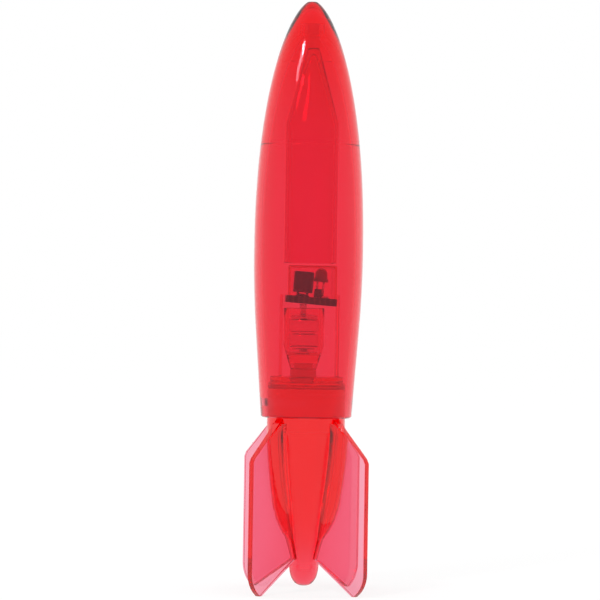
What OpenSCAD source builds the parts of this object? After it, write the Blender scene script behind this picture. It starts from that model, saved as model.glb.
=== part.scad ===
// Light-up pool rocket: a clear red hull on a twist-off tail with four fins.
// A light module stands on the tail's plug, inside the hull, under a clear light tube.
// Millimetres. +Z points to the nose, and the origin is on the axis at the fins' feet.

/* [Hull] */
// Height of the nose tip
nose_z = 150; // [147:0.5:154]
// Height of the widest part
belly_z = 86.8; // [85:0.2:89]
// Radius of the widest part
belly_r = 13.9; // [13.7:0.1:14.6]
// Height of the open rim
rim_z = 44.3; // [44.3:0.1:44.8]
// Thickness of the wall
wall = 1.9; // [1.6:0.1:2]
// Height of the weld between nose and barrel
seam_z = 113.5; // [108:0.5:118]
// Height of the top of the hollow
hollow_z = 142; // [141:0.5:143]

/* [Tail] */
// Radius of the plug and the neck
neck_r = 9.95; // [9.9:0.01:9.97]
// Height of the plug's top face
plug_z = 53.2; // [53:0.1:53.4]
// Height where the neck turns into the boat tail
neck_z = 41.3; // [40:0.1:42]
// Radius where the boat tail runs into its round end
nub_r = 3.75; // [3.4:0.05:4]
// Height of the boat tail's lowest point
nub_end_z = 1.4; // [1:0.1:2]

/* [Fins] */
// Distance from the axis to a fin's outer edge
fin_r = 20.5; // [19:0.1:22]
// Thickness of a fin at its outer edge
fin_t = 1.5; // [1.2:0.1:2]
// Thickness of a fin at the axis, for the draft of its mould
fin_root_t = 2.2; // [2:0.1:2.6]
// Height of a fin's shoulder
shoulder_z = 34; // [32:0.5:36]
// Radius of a fin's lower outer corner
fin_corner_r = 7; // [6:0.5:8]

/* [Bayonet catch] */
// Angle that locks the tail
turn_deg = 75; // [60:5:90]
// Width of a lug
lug_w = 2.8; // [2.4:0.1:3]
// Height of the middle of a lug
lug_z = 48.2; // [47.8:0.1:48.4]

/* [Light module] */
// Diameter of a button cell
cell_d = 7.9; // [7.7:0.1:7.9]
// Thickness of a button cell
cell_h = 3.6; // [3.5:0.05:3.6]
// Sideways place of the cell cup
cup_x = -0.9; // [-1:0.1:-0.6]
// Width of the circuit board
board_w = 12.5; // [12.4:0.1:12.8]
// Lean of the circuit board
board_lean = 4.5; // [3:0.5:5]
// Outer diameter of the light tube
tube_d = 13.4; // [13:0.1:13.6]

/* [Hidden] */
$fn = 96;

// Hull outline: the nose is a superellipse, the side an arc that runs into a straight cone.
nose_end_z = nose_z + 0.5;
nose_bluntness = 2.2;
nose_fullness = 1.7;
side_arc_r = 279;
side_cone_z = 66.5;
side_slope = (belly_z - side_cone_z) / side_arc_r;
rim_round = 0.3;

// Bore of the barrel's mouth: a running fit on the plug, with the grooves for the lugs.
mouth_r = neck_r + 0.05;
mouth_top_z = side_cone_z - (side_r(side_cone_z) - wall - mouth_r) / side_slope;
lug_h = 1.5;
lug_r = neck_r + 0.6;
groove_r = lug_r + 0.25;
groove_play = 0.2;
slot_w = lug_w + 0.6;
groove_deg = turn_deg + asin(lug_w / 2 / neck_r) + 2;

// Half-lap weld between nose and barrel.
lap_h = 2.5;
lap_r = outer_r(seam_z) - wall / 2;

// Light tube, pegged into the nose and a little to one side.
tube_x = 0.5;
tube_wall = 1;
tube_low_z = 83.5;
tube_shoulder_z = 118.5;
tube_taper = 0.25;
tube_end_z = 138;
tube_end_wall = 1.5;
peg_r = 1.6;
peg_end_z = hollow_z + 1.5;

// Boat tail outline below the neck.
boat_slope = 0.05;
boat_arc_r = 122;
boat_end_z = 11;
nub_z = 7.4;

// Rubber ring and its groove in the plug.
ring_wire_r = 0.4;
ring_r = neck_r - ring_wire_r - 0.03;
ring_z = 52.1;
ring_groove_h = 0.9;

// Fin outline.
fin_top_z = rim_z - 0.12;
fin_low_z = fin_corner_r - 1.1;
fin_corner_deg = 54;
foot_w = 0.8;
fin_root_r = 3.3;
fin_root_z = 8.9;
fin_in_r = 2.5;

// Pivot foot and cell cup, one above the other.
foot_z = plug_z - 1.8;
foot_tip_r = 0.5;
stud_r = 3.3;
stud_z = 54.2;
cup_low_z = 56.8;
foot_peg_r = 2.4;
foot_peg_h = 1.5;
cup_shoulder_z = 62.6;
cup_top_z = 72.1;
cup_wall = 1.1;
cup_bore_r = cell_d / 2 + 0.1;
cup_r = cup_bore_r + cup_wall;
cup_floor_z = 60.9;
contact_t = 0.3;
contact_spring_h = 0.7;
cell_z = cup_floor_z + contact_t + contact_spring_h;
strip_w = 1.6;

// Clip: a disc on the plug with two prongs.
clip_disc_r = 9.3;
clip_disc_h = 1.6;
prong_x = 0.45;
prong_gap = 13.6;
prong_t = 0.8;
prong_w = 3;
prong_top_z = 75.5;

// Circuit board, with its parts in the board's own leaning frame.
board_x = 0.55;
board_z = 74;
board_d = 11;
board_t = 1.8;
cover_x = 0.85;
cover_w = 12.1;
cover_d = 9;
cover_top_z = 82.9;
cover_wall = 0.5;
switch_x = -2.15;
switch_y = -1.2;
switch_r = 2.5;
switch_lift = 1;
switch_h = 5.3;
switch_wall = 0.35;
switch_base_h = 0.8;
pin_r = 0.35;
coil_r = 0.95;
coil_wire_r = 0.18;
coil_turns = 6;
coil_h = 2.7;
coil_steps = 16;
coil_sides = 8;
led_x = 2.3;
led_y = 0.4;
led_z = 4.1;
led_flange_r = 1.9;
led_flange_h = 0.8;
led_r = 1.55;
led_h = 3.4;
leg_pitch = 1.6;
leg_w = 0.45;
blob_y = 2.25;
blob_r = 2;
blob_h = 0.8;
transistor_at = [0.6, -3.4, 0];
transistor_size = [2, 1.3, 2.2];
resistor_at = [3.6, 1.2, 0];
resistor_size = [1.25, 2, 0.55];
capacitor_at = [1.2, 2.4, 0];
capacitor_size = [1.6, 0.8, 0.8];

function side_r(z) =
    z > side_cone_z
        ? belly_r - pow(belly_z - z, 2) / (2 * side_arc_r)
        : belly_r - pow(belly_z - side_cone_z, 2) / (2 * side_arc_r)
            - side_slope * (side_cone_z - z);

// Nose outline that starts with radius r at the belly and ends on the axis at end_z.
function nose_r(z, r, end_z) =
    r * pow(1 - pow((z - belly_z) / (end_z - belly_z), nose_bluntness), 1 / nose_fullness);

function outer_r(z) = z < belly_z ? side_r(z) : nose_r(z, belly_r, nose_end_z);

function inner_r(z) = z < belly_z ? side_r(z) - wall : nose_r(z, belly_r - wall, hollow_z);

// Points up the outside or the inside between two heights, crowded towards the upper one.
function outer_points(low, high, steps) = [
    for (i = [0 : steps])
        let (z = high - (high - low) * pow(1 - i / steps, 1.6))
            [outer_r(z), z]
];

function inner_points(low, high, steps) = [
    for (i = [0 : steps])
        let (z = high - (high - low) * pow(1 - i / steps, 1.6))
            [inner_r(z), z]
];

function reversed(list) = [for (i = [len(list) - 1 : -1 : 0]) list[i]];

// Places its children in the leaning frame of the board: origin on the middle of the top face.
module on_board() {
    translate([board_x, 0, board_z])
        rotate([0, board_lean, 0])
            translate([0, 0, board_t / 2])
                children();
}

// ---- Hull ----

module nose_cone() {
    color("crimson", 0.6)
        rotate_extrude()
            polygon(concat(
                outer_points(seam_z, nose_z, 26),
                [
                    [0, nose_z],
                    [0, peg_end_z],
                    [peg_r + tube_x, peg_end_z]
                ],
                [
                    for (p = reversed(inner_points(seam_z - lap_h, hollow_z, 26)))
                        if (p[0] > peg_r + tube_x)
                            p
                ],
                [
                    [lap_r, seam_z - lap_h],
                    [lap_r, seam_z]
                ]
            ));
}

module hull_barrel() {
    color("crimson", 0.6)
        difference() {
            rotate_extrude()
                polygon(concat(
                    [[outer_r(rim_z) - rim_round, rim_z]],
                    outer_points(rim_z + rim_round, belly_z, 10),
                    outer_points(belly_z + 2, seam_z, 8),
                    [
                        [lap_r, seam_z],
                        [lap_r, seam_z - lap_h]
                    ],
                    reversed(inner_points(belly_z, seam_z - lap_h, 8)),
                    reversed(inner_points(mouth_top_z, belly_z - 2, 8)),
                    [[mouth_r, rim_z]]
                ));
            for (side = [0, 180])
                rotate([0, 0, side])
                    bayonet_groove();
        }
}

// One entry slot, up from the rim, and the groove that its lug turns along.
module bayonet_groove() {
    top = lug_z + lug_h / 2 + groove_play;
    translate([mouth_r - 1, -slot_w / 2, rim_z - 1])
        cube([groove_r - mouth_r + 1, slot_w, top - rim_z + 1]);
    rotate_extrude(angle = groove_deg)
        translate([mouth_r - 1, lug_z - lug_h / 2 - groove_play])
            square([groove_r - mouth_r + 1, lug_h + 2 * groove_play]);
}

module light_tube() {
    tube_r = tube_d / 2;
    end_r = tube_r - tube_taper * (tube_end_z - tube_shoulder_z);
    inner_end_z = tube_end_z - tube_end_wall;
    inner_end_r = tube_r - tube_wall - tube_taper * (inner_end_z - tube_shoulder_z);
    color("red", 0.5)
        translate([tube_x, 0, 0])
            rotate_extrude()
                polygon([
                    [tube_r - tube_wall, tube_low_z],
                    [tube_r, tube_low_z],
                    [tube_r, tube_shoulder_z],
                    [end_r, tube_end_z],
                    [peg_r, tube_end_z],
                    [peg_r, peg_end_z - 0.1],
                    [0, peg_end_z - 0.1],
                    [0, inner_end_z],
                    [inner_end_r, inner_end_z],
                    [tube_r - tube_wall, tube_shoulder_z]
                ]);
}

// ---- Tail ----

module finned_tail() {
    color("red", 0.7)
        difference() {
            union() {
                tail_core();
                for (a = [45 : 90 : 315])
                    rotate([0, 0, a])
                        fin();
                for (side = [0, 180])
                    rotate([0, 0, side])
                        translate([neck_r - 1, -lug_w / 2, lug_z - lug_h / 2])
                            cube([lug_r - neck_r + 0.9, lug_w, lug_h]);
            }
            pivot_recess();
        }
}

// Plug, seal groove, neck and boat tail, turned as one solid.
module tail_core() {
    boat_steps = 8;
    nub_steps = 8;
    rotate_extrude()
        polygon(concat(
            [
                [0, plug_z],
                [neck_r - 0.3, plug_z],
                [neck_r, plug_z - 0.3],
                [neck_r, ring_z + ring_groove_h / 2],
                [ring_r - ring_wire_r - 0.05, ring_z + ring_groove_h / 2],
                [ring_r - ring_wire_r - 0.05, ring_z - ring_groove_h / 2],
                [neck_r, ring_z - ring_groove_h / 2]
            ],
            [
                for (i = [0 : boat_steps])
                    let (d = (neck_z - boat_end_z) * i / boat_steps)
                        [neck_r - boat_slope * d - d * d / (2 * boat_arc_r), neck_z - d]
            ],
            [
                for (i = [0 : nub_steps])
                    let (a = 84 * i / nub_steps)
                        [nub_r * cos(a), nub_z - (nub_z - nub_end_z) * sin(a) / sin(84)]
            ],
            [[0, nub_end_z]]
        ));
}

module pivot_recess() {
    translate([cup_x, 0, foot_z])
        cylinder(r1 = foot_tip_r + 0.2, r2 = stud_r + 0.2, h = plug_z - foot_z + 0.01);
}

module fin() {
    corner_steps = 8;
    corner_x = fin_r - fin_corner_r;
    tip_x = corner_x + fin_corner_r * cos(fin_corner_deg);
    intersection() {
        // The draft: thicker at the axis than at the outer edge.
        linear_extrude(height = plug_z, convexity = 2)
            polygon([
                [0, -fin_root_t / 2],
                [fin_r + 1, -fin_t / 2],
                [fin_r + 1, fin_t / 2],
                [0, fin_root_t / 2]
            ]);
        rotate([90, 0, 0])
            translate([0, 0, -fin_root_t])
                linear_extrude(2 * fin_root_t)
                    polygon(concat(
                        [
                            [fin_in_r, fin_top_z - 2],
                            [neck_r - 0.5, fin_top_z],
                            [neck_r + 0.2, fin_top_z],
                            [fin_r - 0.6, shoulder_z + 0.6],
                            [fin_r, shoulder_z - 0.6]
                        ],
                        [
                            for (i = [0 : corner_steps])
                                let (a = fin_corner_deg * i / corner_steps)
                                    [
                                        corner_x + fin_corner_r * cos(a),
                                        fin_low_z - fin_corner_r * sin(a)
                                    ]
                        ],
                        [
                            [tip_x - 0.2, 0],
                            [tip_x - 0.2 - foot_w, 0],
                            [fin_root_r, fin_root_z],
                            [fin_in_r, fin_root_z + 1]
                        ]
                    ));
    }
}

module seal_ring() {
    color("dimgray")
        translate([0, 0, ring_z])
            rotate_extrude()
                translate([ring_r, 0])
                    circle(r = ring_wire_r, $fn = 32);
}

// ---- Light module ----

module module_clip() {
    color("tomato", 0.5)
        union() {
            difference() {
                translate([0, 0, plug_z])
                    cylinder(r = clip_disc_r, h = clip_disc_h);
                translate([cup_x, 0, plug_z - 1])
                    cylinder(r = stud_r + 0.2, h = clip_disc_h + 2);
            }
            for (side = [-1, 1])
                translate([prong_x + side * (prong_gap + prong_t) / 2, 0, 0])
                    prong();
        }
}

module prong() {
    translate([-prong_t / 2, -prong_w / 2, plug_z + clip_disc_h - 0.5])
        cube([prong_t, prong_w, prong_top_z - plug_z - clip_disc_h + 0.5]);
}

module pivot_foot() {
    color("darkred")
        translate([cup_x, 0, 0]) {
            translate([0, 0, foot_z])
                cylinder(r1 = foot_tip_r, r2 = stud_r, h = stud_z - foot_z);
            translate([0, 0, stud_z])
                cylinder(r = stud_r, h = cup_low_z - stud_z);
            translate([0, 0, cup_low_z - 0.5])
                cylinder(r = foot_peg_r, h = foot_peg_h + 0.5);
        }
}

module cell_cup() {
    color("salmon", 0.5)
        translate([cup_x, 0, 0])
            difference() {
                rotate_extrude()
                    polygon([
                        [foot_peg_r, cup_low_z],
                        [stud_r + 0.1, cup_low_z],
                        [cup_r, cup_shoulder_z],
                        [cup_r, cup_top_z],
                        [cup_bore_r, cup_top_z],
                        [cup_bore_r, cup_floor_z],
                        [0, cup_floor_z],
                        [0, cup_low_z + foot_peg_h],
                        [foot_peg_r, cup_low_z + foot_peg_h]
                    ]);
                translate([-strip_w / 2 - 0.1, 1, cup_floor_z])
                    cube([strip_w + 0.2, cup_r, contact_t + 0.1]);
            }
}

module lower_contact() {
    color("silver")
        translate([cup_x, 0, cup_floor_z]) {
            cylinder(r = cup_bore_r - 0.3, h = contact_t);
            translate([0, 0, contact_t - 0.1])
                cylinder(r1 = 2, r2 = 1, h = contact_spring_h + 0.1);
        }
}

// A button cell: the can, and the narrower cap that faces down.
module cell(z) {
    cap_h = 0.7;
    color("lightgray")
        translate([cup_x, 0, z]) {
            cylinder(r = cell_d / 2 - 0.9, h = cap_h + 0.1);
            translate([0, 0, cap_h])
                cylinder(r = cell_d / 2, h = cell_h - cap_h);
        }
}

module lower_cell() {
    cell(cell_z);
}

module upper_cell() {
    cell(cell_z + cell_h);
}

module upper_contact() {
    color("silver")
        translate([cup_x, 0, cell_z + 2 * cell_h]) {
            cylinder(r1 = 1, r2 = 2, h = contact_t + 0.1);
            translate([0, 0, contact_t])
                cylinder(r = cup_bore_r - 0.5, h = contact_t);
        }
}

// Runs out through the cup's slot and up its back, to the underside of the board.
module negative_strip() {
    tab_w = cup_r - cup_bore_r + 0.3;
    color("silver")
        translate([cup_x - strip_w / 2, cup_r, cup_floor_z]) {
            translate([0, -tab_w, 0])
                cube([strip_w, tab_w + contact_t, contact_t]);
            cube([strip_w, contact_t, strip_top_z() - cup_floor_z]);
        }
}

// Rises from the upper contact to the underside of the board, at the back.
module positive_strip() {
    low = cell_z + 2 * cell_h + 2 * contact_t;
    color("silver")
        translate([cup_x - strip_w / 2, cup_bore_r - 0.5 - 2 * contact_t, low])
            cube([strip_w, contact_t, strip_top_z() - low]);
}

// Height of the strips' ends: just under the leaning board.
function strip_top_z() =
    board_z - board_t / 2 / cos(board_lean)
        + (board_x - cup_x - strip_w / 2) * tan(board_lean) - 0.05;

module circuit_board() {
    color("darkgreen")
        on_board()
            translate([-board_w / 2, -board_d / 2, -board_t])
                cube([board_w, board_d, board_t]);
}

// An upright box, open below, whose foot is cut to the lean of the board.
module component_cover() {
    inner_w = cover_w - 2 * cover_wall;
    inner_d = cover_d - 2 * cover_wall;
    color("salmon", 0.4)
        difference() {
            translate([cover_x - cover_w / 2, -cover_d / 2, board_z])
                cube([cover_w, cover_d, cover_top_z - board_z]);
            translate([cover_x - inner_w / 2, -inner_d / 2, board_z - 1])
                cube([inner_w, inner_d, cover_top_z - cover_wall - board_z + 1]);
            on_board()
                translate([-board_w, -board_d, -4])
                    cube([2 * board_w, 2 * board_d, 4]);
        }
}

module timing_chip() {
    color("black")
        on_board()
            translate([switch_x, blob_y, 0])
                intersection() {
                    translate([0, 0, blob_h - blob_r])
                        sphere(r = blob_r);
                    cylinder(r = blob_r, h = blob_h + 1);
                }
}

module driver_transistor() {
    color("black")
        on_board()
            translate(transistor_at)
                cube(transistor_size);
}

module chip_resistor() {
    color("black")
        on_board()
            translate(resistor_at)
                cube(resistor_size);
}

module chip_capacitor() {
    color("tan")
        on_board()
            translate(capacitor_at)
                cube(capacitor_size);
}

module led_lens() {
    color("red", 0.6)
        on_board()
            translate([led_x, led_y, led_z]) {
                cylinder(r = led_flange_r, h = led_flange_h);
                cylinder(r = led_r, h = led_h - led_r);
                translate([0, 0, led_h - led_r])
                    sphere(r = led_r);
            }
}

module led_legs() {
    color("silver")
        on_board()
            for (side = [-1, 1])
                translate([led_x + side * leg_pitch / 2 - leg_w / 2, led_y - leg_w / 2, 0])
                    cube([leg_w, leg_w, led_z]);
}

module on_switch() {
    on_board()
        translate([switch_x, switch_y, switch_lift])
            children();
}

module switch_can() {
    color("black")
        on_switch()
            difference() {
                cylinder(r = switch_r, h = switch_h);
                translate([0, 0, -1])
                    cylinder(r = switch_r - switch_wall, h = switch_h - switch_wall + 1);
            }
}

module switch_base() {
    color("dimgray")
        on_switch() {
            cylinder(r = switch_r - switch_wall, h = switch_base_h);
            for (side = [-1, 1])
                translate([side * 1.2, 0, -switch_lift])
                    cylinder(r = 0.3, h = switch_lift + 0.2);
        }
}

module switch_pin() {
    color("gold")
        on_switch()
            translate([0, 0, switch_base_h])
                cylinder(r = pin_r, h = switch_h - switch_wall - switch_base_h - 0.6);
}

// A round wire swept along a helix, with closed ends.
module switch_coil() {
    rings = coil_turns * coil_steps;
    low = switch_base_h + coil_wire_r + 0.05;
    function wire_point(i, j) =
        let (
            turn = 360 * i / coil_steps,
            side = 360 * j / coil_sides,
            r = coil_r + coil_wire_r * cos(side)
        )
            [r * cos(turn), r * sin(turn), low + coil_h * i / rings + coil_wire_r * sin(side)];
    color("gold")
        on_switch()
            polyhedron(
                points = [for (i = [0 : rings]) for (j = [0 : coil_sides - 1]) wire_point(i, j)],
                faces = concat(
                    [[for (j = [0 : coil_sides - 1]) j]],
                    [
                        for (i = [0 : rings - 1]) for (j = [0 : coil_sides - 1])
                            let (
                                a = i * coil_sides + j,
                                b = i * coil_sides + (j + 1) % coil_sides
                            )
                                [a, a + coil_sides, b + coil_sides, b]
                    ],
                    [[for (j = [coil_sides - 1 : -1 : 0]) rings * coil_sides + j]]
                )
            );
}

nose_cone();
hull_barrel();
light_tube();
seal_ring();
finned_tail();
module_clip();
pivot_foot();
cell_cup();
lower_contact();
lower_cell();
upper_cell();
upper_contact();
negative_strip();
positive_strip();
circuit_board();
component_cover();
timing_chip();
driver_transistor();
chip_resistor();
chip_capacitor();
led_lens();
led_legs();
switch_can();
switch_base();
switch_pin();
switch_coil();
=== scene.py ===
# Light-up pool rocket: the looks of a clear red hull, its finned tail and the light module inside.
import math

import bmesh
import bpy
from mathutils import Matrix, Vector


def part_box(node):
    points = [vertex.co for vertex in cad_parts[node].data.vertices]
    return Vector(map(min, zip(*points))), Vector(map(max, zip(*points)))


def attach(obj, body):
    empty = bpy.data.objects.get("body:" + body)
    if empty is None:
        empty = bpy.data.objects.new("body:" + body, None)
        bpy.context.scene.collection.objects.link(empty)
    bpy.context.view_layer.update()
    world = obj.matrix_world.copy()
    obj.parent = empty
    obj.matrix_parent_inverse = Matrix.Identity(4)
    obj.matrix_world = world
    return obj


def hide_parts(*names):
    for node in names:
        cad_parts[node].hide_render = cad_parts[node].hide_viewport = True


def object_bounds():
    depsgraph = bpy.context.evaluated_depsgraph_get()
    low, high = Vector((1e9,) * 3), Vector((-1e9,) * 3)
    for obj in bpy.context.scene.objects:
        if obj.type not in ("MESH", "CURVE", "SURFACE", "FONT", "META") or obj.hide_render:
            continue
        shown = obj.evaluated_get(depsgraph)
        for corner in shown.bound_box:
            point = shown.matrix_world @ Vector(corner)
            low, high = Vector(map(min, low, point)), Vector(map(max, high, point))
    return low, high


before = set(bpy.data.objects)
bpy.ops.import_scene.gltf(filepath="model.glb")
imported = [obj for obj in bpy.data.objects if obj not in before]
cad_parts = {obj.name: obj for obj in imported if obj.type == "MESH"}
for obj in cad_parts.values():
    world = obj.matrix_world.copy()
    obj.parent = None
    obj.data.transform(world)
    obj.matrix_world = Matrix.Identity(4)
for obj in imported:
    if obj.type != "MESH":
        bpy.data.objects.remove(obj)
cad_low, cad_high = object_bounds()


# ---- Hull ----
# The nose and the barrel are two clear red mouldings, welded at the shoulder into one thin hull.
# The tip of the nose is solid and the rest is a thin wall, open at the tail. Two slots run up from
# the rim into short grooves, which catch the lugs of the tail.

mm = 0.001
barrel_low, barrel_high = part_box("hull_barrel")
hull_wall = 1.9 * mm
belly_r = (barrel_high.x - barrel_low.x) / 2
rim_z = barrel_low.z
weld_z = barrel_high.z
nose_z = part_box("nose_cone")[1].z
belly_z = rim_z + 42.5 * mm
cone_z = rim_z + 22.2 * mm
side_arc_r = 279 * mm
side_slope = (belly_z - cone_z) / side_arc_r
nose_end_z = nose_z + 0.5 * mm
hollow_z = nose_z - 8 * mm
mouth_r = 10 * mm
weld_bead = 0.06 * mm
witness_z = nose_z - 16 * mm
witness = 0.04 * mm
socket_r = 2.1 * mm
socket_z = hollow_z + 1.5 * mm
nose_power, nose_root = 2.2, 1.7
crowding = 1.7
rim_ease, mouth_ease = 0.3 * mm, 0.15 * mm
weld_half, witness_half = 0.2 * mm, 0.1 * mm


def hull_r(z, inset=0.0, end_z=nose_end_z):
    """Radius of the hull: a superellipse above the belly, an arc and then a cone below it."""
    if z >= belly_z:
        up = min(1, (z - belly_z) / (end_z - belly_z))
        return (belly_r - inset) * (1 - up ** nose_power) ** (1 / nose_root)
    if z >= cone_z:
        return belly_r - inset - (belly_z - z) ** 2 / (2 * side_arc_r)
    return hull_r(cone_z, inset) - side_slope * (cone_z - z)


def hull_line(low, high, count, inset=0.0, end_z=nose_end_z):
    """Points up the hull from low to high, closer together towards the top."""
    line = []
    for i in range(count + 1):
        z = high - (high - low) * (1 - i / count) ** crowding
        line.append((hull_r(z, inset, end_z), z))
    return line


def arc(centre_r, centre_z, radius, start, end, count=6, radius_z=None):
    """Points of a round corner, with angles in degrees from the outward direction."""
    points = []
    height = radius_z or radius
    for i in range(count + 1):
        a = math.radians(start + (end - start) * i / count)
        points.append((centre_r + radius * math.cos(a), centre_z + height * math.sin(a)))
    return points


def start_piece(name):
    """A new piece in edit mode, as one vertex on the origin."""
    bpy.ops.object.select_all(action="DESELECT")
    bpy.ops.mesh.primitive_plane_add(size=mm, location=(0, 0, 0))
    piece = bpy.context.active_object
    piece.name = name
    bpy.ops.object.mode_set(mode="EDIT")
    bpy.ops.mesh.merge(type="CENTER")
    return piece


def draw(points):
    """Extrudes the one vertex along points in the XZ plane and closes the loop."""
    bpy.ops.transform.translate(value=(points[0][0], 0, points[0][1]))
    for (x, z), (next_x, next_z) in zip(points, points[1:]):
        bpy.ops.mesh.extrude_region_move(
            TRANSFORM_OT_translate={"value": (next_x - x, 0, next_z - z)}
        )
    mesh = bpy.context.active_object.data
    net = bmesh.from_edit_mesh(mesh)
    net.verts.ensure_lookup_table()
    net.verts[0].select = True
    net.verts[-1].select = True
    bmesh.update_edit_mesh(mesh)
    bpy.ops.mesh.edge_face_add()
    bpy.ops.mesh.select_all(action="SELECT")


def finish_solid():
    """Merges what meets, turns the faces outwards and leaves edit mode."""
    bpy.ops.mesh.select_all(action="SELECT")
    bpy.ops.mesh.remove_doubles(threshold=0.0005 * mm)
    bpy.ops.mesh.dissolve_degenerate(threshold=0.0005 * mm)
    bpy.ops.mesh.select_all(action="SELECT")
    bpy.ops.mesh.delete_loose(use_verts=True, use_edges=True, use_faces=False)
    bpy.ops.mesh.select_all(action="SELECT")
    bpy.ops.mesh.normals_make_consistent(inside=False)
    bpy.ops.object.mode_set(mode="OBJECT")


def pick(piece):
    """Makes one piece the only selected and active one."""
    bpy.ops.object.select_all(action="DESELECT")
    piece.select_set(True)
    bpy.context.view_layer.objects.active = piece


def smooth(piece, degrees=32):
    """Smooth shading, broken only at edges sharper than this."""
    pick(piece)
    bpy.ops.object.shade_smooth_by_angle(angle=math.radians(degrees))


def lathe(name, outline, steps=96, centre_x=0.0, centre_y=0.0):
    """A turned piece: its closed outline is drawn, then spun round the upright axis."""
    piece = start_piece(name)
    draw(outline)
    bpy.ops.mesh.spin(steps=steps, angle=2 * math.pi, center=(0, 0, 0), axis=(0, 0, 1))
    finish_solid()
    piece.data.transform(Matrix.Translation((centre_x, centre_y, 0)))
    smooth(piece)
    return piece


def apply_modifier(piece, kind, **settings):
    """Adds one modifier to a piece and applies it."""
    pick(piece)
    modifier = piece.modifiers.new(kind.lower(), kind)
    for key, value in settings.items():
        setattr(modifier, key, value)
    bpy.ops.object.modifier_apply(modifier=modifier.name)


def join_solids(piece, others, operation="UNION"):
    """Joins solids to a piece, or cuts them out of it, and removes them."""
    for other in others:
        apply_modifier(piece, "BOOLEAN", operation=operation, solver="EXACT", object=other)
        bpy.data.objects.remove(other)


def block(name, low, high):
    """A block between two corners, for joining, cutting or easing."""
    bpy.ops.object.select_all(action="DESELECT")
    middle = (Vector(low) + Vector(high)) / 2
    bpy.ops.mesh.primitive_cube_add(size=1, location=middle)
    piece = bpy.context.active_object
    piece.name = name
    piece.scale = Vector(high) - Vector(low)
    bpy.ops.object.transform_apply(location=True, rotation=True, scale=True)
    return piece


def new_material(name):
    """A node material: returns it with its shader, a maker of nodes and a maker of links."""
    material = bpy.data.materials.new(name)
    material.use_nodes = True
    nodes = material.node_tree.nodes

    def add(kind, inputs=(), **settings):
        made = nodes.new(kind)
        for key, value in settings.items():
            setattr(made, key, value)
        for key, value in dict(inputs).items():
            made.inputs[key].default_value = value
        return made

    def link(source, output, target, socket):
        material.node_tree.links.new(source.outputs[output], target.inputs[socket])

    return material, nodes["Principled BSDF"], add, link


def clear_plastic(name, tint, soak, density, glare=(1, 0.5, 0.6), gloss=0.04, ripple=0.06):
    """Clear coloured plastic: tinted, deeper where it is thick, with the faint flow of moulding."""
    material, shader, add, link = new_material(name)
    shader.inputs["Transmission Weight"].default_value = 1.0
    shader.inputs["IOR"].default_value = 1.49
    shader.inputs["Specular Tint"].default_value = (*glare, 1)
    place = add("ShaderNodeTexCoord")
    stretch = add("ShaderNodeMapping")
    stretch.inputs["Scale"].default_value = (1, 1, 0.35)
    link(place, "Object", stretch, "Vector")
    flow = add("ShaderNodeTexNoise", {"Scale": 140.0, "Detail": 2.0, "Roughness": 0.4})
    link(stretch, "Vector", flow, "Vector")
    shade = add("ShaderNodeValToRGB")
    shade.color_ramp.elements[0].position = 0.3
    shade.color_ramp.elements[0].color = (tint[0] * 0.98, tint[1] * 0.93, tint[2] * 0.94, 1)
    shade.color_ramp.elements[1].position = 0.7
    shade.color_ramp.elements[1].color = (*tint, 1)
    link(flow, "Fac", shade, "Fac")
    link(shade, "Color", shader, "Base Color")
    haze = add("ShaderNodeMapRange", {"To Min": gloss * 0.6, "To Max": gloss * 1.4})
    link(flow, "Fac", haze, "Value")
    link(haze, "Result", shader, "Roughness")
    bump = add("ShaderNodeBump", {"Strength": ripple, "Distance": 0.2 * mm})
    link(flow, "Fac", bump, "Height")
    link(bump, "Normal", shader, "Normal")
    depth = add("ShaderNodeVolumeAbsorption", {"Color": (*soak, 1), "Density": density})
    link(depth, "Volume", material.node_tree.nodes["Material Output"], "Volume")
    return material


def place_piece(piece, material, body, slot_name, *nodes):
    """Gives a piece its material, rides it on its body and hides the CAD nodes it stands for."""
    if material is not None:
        piece.data.materials.clear()
        piece.data.materials.append(material)
    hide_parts(*nodes)
    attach(piece, body)


# The bore meets the sloping inner wall here.
bore_top_z = cone_z - (hull_r(cone_z) - hull_wall - mouth_r) / side_slope
outside = hull_line(rim_z + rim_ease, belly_z, 26) + hull_line(belly_z, nose_z, 64)[1:]
inside = [(mouth_r, rim_z + mouth_ease), (mouth_r, bore_top_z)]
inside += hull_line(bore_top_z, belly_z, 24, hull_wall)[1:]
inside += hull_line(belly_z, weld_z - weld_half, 16, hull_wall, hollow_z)[1:]
inside += [(hull_r(weld_z, hull_wall, hollow_z) - weld_bead, weld_z)]
inside += hull_line(weld_z + weld_half, witness_z - witness_half, 24, hull_wall, hollow_z)
inside += [(hull_r(witness_z, hull_wall, hollow_z) + witness, witness_z)]
ogive = hull_line(witness_z + witness_half, hollow_z, 36, hull_wall, hollow_z)
inside += [point for point in ogive if point[0] > socket_r + 0.1 * mm]
inside += [(socket_r, hollow_z - 0.9 * mm), (socket_r, socket_z), (0, socket_z)]
rim_corner = [(mouth_r + mouth_ease, rim_z), (hull_r(rim_z) - rim_ease, rim_z)]
hull = lathe("hull_shell", rim_corner + outside + [(0, nose_z)] + inside[::-1], steps=144)
hull.data.transform(Matrix.Rotation(math.radians(1.1), 4, "Z"))

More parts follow.
